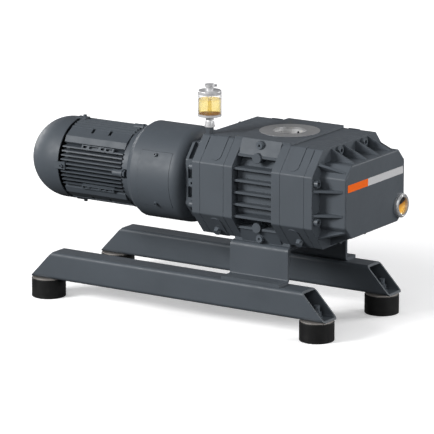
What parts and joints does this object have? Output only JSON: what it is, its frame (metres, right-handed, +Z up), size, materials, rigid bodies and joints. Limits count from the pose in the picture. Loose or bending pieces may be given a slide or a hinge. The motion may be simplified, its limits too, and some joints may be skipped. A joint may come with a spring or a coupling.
{
  "type": "roots vacuum booster pump",
  "caption": "Two-lobe rotary vacuum booster with flanged top inlet and bottom outlet, shaft-seal oiler, coupled fan-cooled motor and a railed frame on rubber feet.",
  "frame": {"origin": "centre of the whole unit in plan, on the floor", "axes": "+X from the motor's fan end to the gear cover, along the shafts; +Z up; -Y towards the operator's side, where the coupling hatch is"},
  "size_m": [0.84, 0.345, 0.5106],
  "materials": {
    "pump_paint": "satin",
    "hatch_paint": "satin",
    "motor_paint": "satin",
    "frame_paint": "satin",
    "rotor_iron": "machined",
    "shaft_steel": "ground",
    "screw_steel": "zinc plated",
    "plug_steel": "turned",
    "port_metal": "turned",
    "plate_steel": "zinc plated",
    "foot_rubber": "matt",
    "hub_iron": "machined",
    "spider_rubber": "matt",
    "core_steel": "laminated",
    "fan_plastic": "moulded",
    "shield_iron": "as cast",
    "strip_print": "printed",
    "bezel_metal": "turned",
    "lens_glass": "clear",
    "gland_plastic": "moulded",
    "oiler_dark": "blackened",
    "oiler_metal": "polished",
    "oiler_clear": "clear",
    "oil": "liquid"
  },
  "bodies": {
    "unit": {"bearing_outer_rings": "shaft_steel", "bracket_bolts": "screw_steel", "cable_gland": "gland_plastic", "coupling_hatch": "hatch_paint", "coupling_housing": "pump_paint", "cylinder": "pump_paint", "drive_cover_screws": "screw_steel", "drive_end_casing": "pump_paint", "drive_end_cover": "pump_paint", "drive_end_shield": "shield_iron", "drive_line_bolts": "screw_steel", "fan_end_shield": "shield_iron", "fan_hood": "motor_paint", "far_bracket": "frame_paint", "far_rail": "frame_paint", "foot_buffers": "foot_rubber", "foot_fasteners": "screw_steel", "foot_plates": "plate_steel", "gear_cover": "pump_paint", "gear_cover_screws": "screw_steel", "gear_end_casing": "pump_paint", "hood_and_hatch_screws": "screw_steel", "identification_strip": "strip_print", "motor_frame": "motor_paint", "near_bracket": "frame_paint", "near_rail": "frame_paint", "neck": "pump_paint", "oil_plugs": "plug_steel", "oiler_base": "oiler_metal", "oiler_cap": "oiler_metal", "oiler_drip_sight": "oiler_metal", "oiler_glass": "oiler_clear", "oiler_nipple": "oiler_dark", "oiler_oil": "oil", "oiler_tube": "oiler_clear", "port_flange_rings": "port_metal", "port_plugs": "plug_steel", "shaft_seal": "spider_rubber", "sight_glass_bezel": "bezel_metal", "sight_glass_lens": "lens_glass", "stator": "core_steel", "terminal_box": "motor_paint", "terminal_box_lid": "motor_paint"},
    "drive_train": {"drive_rotor": "rotor_iron", "drive_shaft": "shaft_steel", "drive_timing_gear": "shaft_steel", "drive_shaft_bearings": "shaft_steel", "pump_coupling_hub": "hub_iron", "coupling_spider": "spider_rubber"},
    "driven_train": {"driven_rotor": "rotor_iron", "driven_shaft": "shaft_steel", "driven_timing_gear": "shaft_steel", "oil_slinger": "shaft_steel", "driven_shaft_bearings": "shaft_steel"},
    "motor_train": {"motor_shaft": "shaft_steel", "motor_rotor": "core_steel", "fan": "fan_plastic", "motor_shaft_bearings": "shaft_steel", "motor_coupling_hub": "hub_iron"},
    "lid": {"oiler_lid": "oiler_metal"}
  },
  "joints": [
    {"name": "drive_spin", "type": "hinge", "parent": "unit", "child": "drive_train", "pos_m": [0.2, -0.042, 0.296], "axis": [1, 0, 0], "continuous": true},
    {"name": "driven_spin", "type": "hinge", "parent": "unit", "child": "driven_train", "pos_m": [0.2, 0.042, 0.296], "axis": [1, 0, 0], "continuous": true},
    {"name": "motor_spin", "type": "hinge", "parent": "unit", "child": "motor_train", "pos_m": [-0.23, -0.042, 0.296], "axis": [1, 0, 0], "continuous": true},
    {"name": "oiler_lid_hinge", "type": "hinge", "parent": "unit", "child": "lid", "pos_m": [0.074, -0.097, 0.5089], "axis": [0, 1, 0], "range_deg": [0, 100]}
  ],
  "couplings": [
    {"joint": "driven_spin", "follows": "drive_spin", "ratio": -1},
    {"joint": "motor_spin", "follows": "drive_spin", "ratio": 1}
  ]
}
